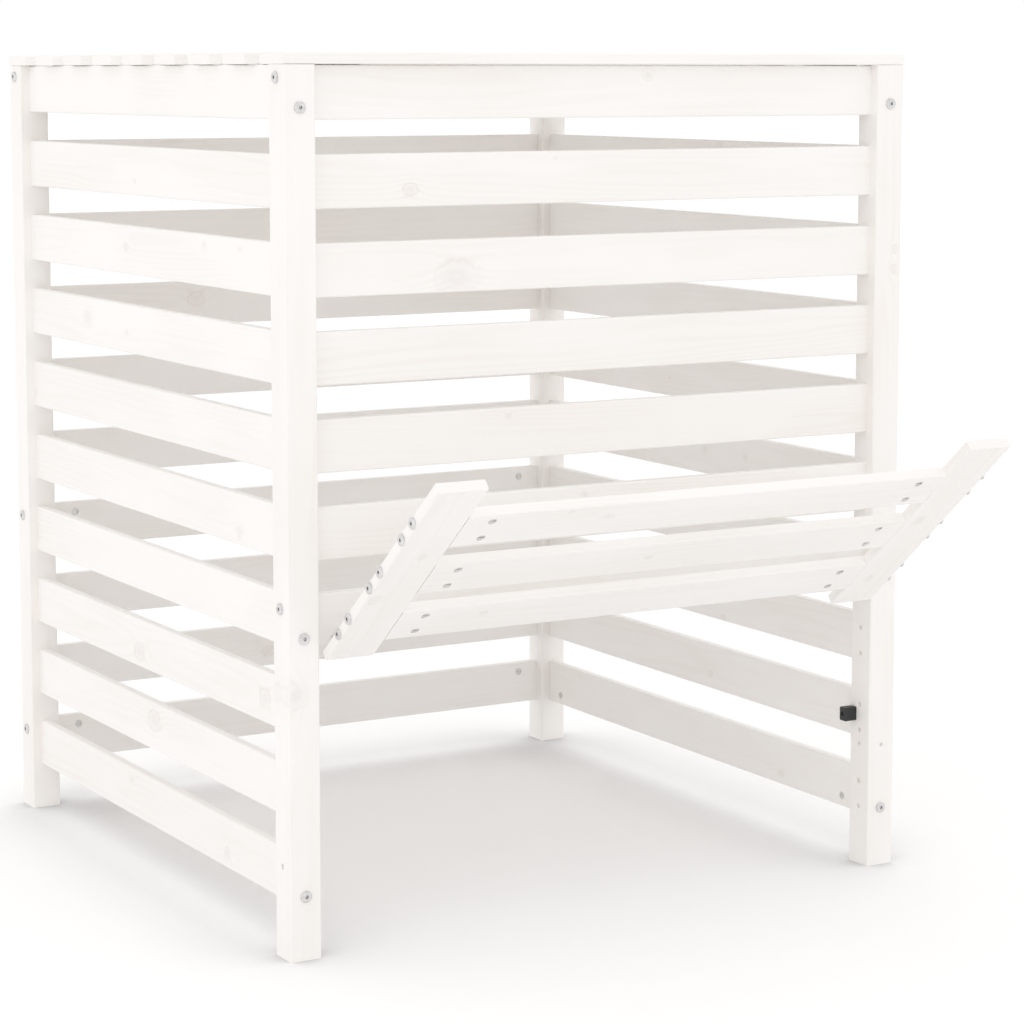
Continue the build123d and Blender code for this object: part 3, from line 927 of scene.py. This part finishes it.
def round_floor(radius, rings=48, sides=96):
    """A flat disc.

    A point lies at an angle round the middle and at a distance that grows as the square of
    its ring's number.
    """
    reach = radius * (np.arange(1, rings + 1) / rings) ** 2
    turn = np.arange(sides) * 2 * pi / sides
    x = np.outer(reach, np.cos(turn)).ravel()
    y = np.outer(reach, np.sin(turn)).ravel()
    points = np.column_stack((x, y, np.zeros_like(x)))
    points = np.vstack((points, np.zeros((1, 3))))
    ring, side = np.meshgrid(np.arange(rings - 1), np.arange(sides), indexing="ij")
    near, next_side = ring * sides + side, ring * sides + (side + 1) % sides
    quads = np.stack((near, near + sides, next_side + sides, next_side), axis=-1).reshape(-1, 4)
    hub = rings * sides
    around = np.arange(sides)
    hub_faces = np.column_stack((np.full(sides, hub), around, (around + 1) % sides))
    mesh = bpy.data.meshes.new("floor")
    mesh.from_pydata(points.tolist(), [], quads.tolist() + hub_faces.tolist())
    floor = bpy.data.objects.new("floor", mesh)
    bpy.context.scene.collection.objects.link(floor)
    return floor


def seen_directly(recipe):
    """1 for rays from the camera, off metal and through glass, and 0 for the light on things."""
    kinds = ("Is Camera Ray", "Is Glossy Ray", "Is Transmission Ray")
    camera, mirror, glass = (recipe.add("ShaderNodeLightPath", output=kind) for kind in kinds)
    return camera.maths("MAXIMUM", mirror).maths("MAXIMUM", glass)


def floor_material(look):
    """A pale floor that the camera sees as white, with the object's shadow on it and a painted shade close
    under things.
    """
    recipe = Recipe("floor")
    inputs = {"Distance": look.painted_shade_reach}
    settings = {"samples": PAINTED_SHADE_SAMPLES}
    # Painted shade: to the camera the floor darkens towards its shaded colour where things stand close above
    # it
    open_sky = recipe.add("ShaderNodeAmbientOcclusion", settings, inputs, "AO").rising(0.0, 1.0)
    white = recipe.mix(open_sky, rgba(look.floor_painted_shade), rgba(look.floor_seen))
    color = recipe.mix(seen_directly(recipe), rgba(look.floor_color), white)
    shader = recipe.add("ShaderNodeBsdfDiffuse", None, {"Color": color})
    recipe.add("ShaderNodeOutputMaterial", None, {"Surface": shader})
    return recipe.made


def light_the_world(look):
    """An even white sky, which the camera and mirrors see as plain white."""
    recipe = Recipe("studio", "worlds")
    white = rgba(look.sky_color)
    sky = recipe.add("ShaderNodeBackground", None, {"Color": white, "Strength": look.sky_strength})
    backdrop = recipe.add("ShaderNodeBackground", None, {"Color": white})
    seen = recipe.add("ShaderNodeMixShader", None, {0: seen_directly(recipe), 1: sky, 2: backdrop})
    recipe.add("ShaderNodeOutputWorld", None, {"Surface": seen})
    bpy.context.scene.world = recipe.made


def add_lamp(name, place, aim, power, size):
    """A square area lamp that points at a place."""
    lamp = bpy.data.lights.new(name, "AREA")
    lamp.shape, lamp.size, lamp.energy = "SQUARE", size, power
    obj = bpy.data.objects.new(name, lamp)
    obj.location = place
    obj.rotation_euler = (Vector(aim) - Vector(place)).to_track_quat("-Z", "Y").to_euler()
    bpy.context.scene.collection.objects.link(obj)


class SetStage(bpy.types.Operator):
    """Lays the floor, lights the bin and sets the camera."""

    bl_idname = "compost_bin.stage"
    bl_label = "Stage"

    def execute(self, context):
        look = context.scene.bin_stage
        floor = round_floor(look.floor_radius)
        floor.data.materials.append(floor_material(look))
        light_the_world(look)
        low, high = (Vector(corner) for corner in CAD_BOX)
        aim = (low + high) / 2
        add_lamp("key", look.key_place, aim, look.key_power, look.key_size)

        camera = bpy.data.cameras.new("camera")
        camera.lens, camera.sensor_width = look.camera_lens, SENSOR_WIDTH
        camera.shift_y = -look.camera_drop
        camera.clip_end = 2 * look.floor_radius
        view = bpy.data.objects.new("camera", camera)
        view.location = look.camera_place
        view.rotation_euler = (radians(90) - look.camera_tilt, 0, -look.camera_heading)
        context.scene.collection.objects.link(view)
        context.scene.camera = view
        context.scene.view_settings.view_transform = "Standard"
        return {"FINISHED"}


class BinPanel(bpy.types.Panel):
    """Lists the steps that finish the bin, and their settings."""

    bl_idname = "COMPOST_BIN_PT_panel"
    bl_label = "Compost bin"
    bl_space_type = "VIEW_3D"
    bl_region_type = "UI"
    bl_category = "Compost bin"

    def draw(self, context):
        for step in STEPS:
            self.layout.operator(step.bl_idname)
        for name in LOOKS:
            box = self.layout.box()
            look = getattr(context.scene, name)
            for setting in look.bl_rna.properties:
                if setting.identifier not in ("rna_type", "name"):
                    box.prop(look, setting.identifier)


STEPS = (
    FinishPosts,
    FinishSides,
    FinishFront,
    FinishBack,
    FinishLid,
    FinishFlap,
    FinishFixings,
    AddPlugs,
    FinishHinges,
    FinishStop,
    SetStage,
)
LOOKS = {"bin_pine": PineLook, "bin_trim": TrimLook, "bin_plugs": PlugLook, "bin_stage": StageLook}


def register():
    """Adds the settings, the operators and the panel to Blender."""
    for group in (*LOOKS.values(), *STEPS, BinPanel):
        bpy.utils.register_class(group)
    for name, group in LOOKS.items():
        setattr(bpy.types.Scene, name, PointerProperty(type=group))


def unregister():
    """Takes the settings, the operators and the panel out again."""
    for name in LOOKS:
        delattr(bpy.types.Scene, name)
    for group in (BinPanel, *reversed(STEPS), *LOOKS.values()):
        bpy.utils.unregister_class(group)


def main():
    """Registers the add-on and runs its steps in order."""
    register()
    for step in STEPS:
        group, name = step.bl_idname.split(".")
        getattr(getattr(bpy.ops, group), name)()


if __name__ == "__main__":
    main()
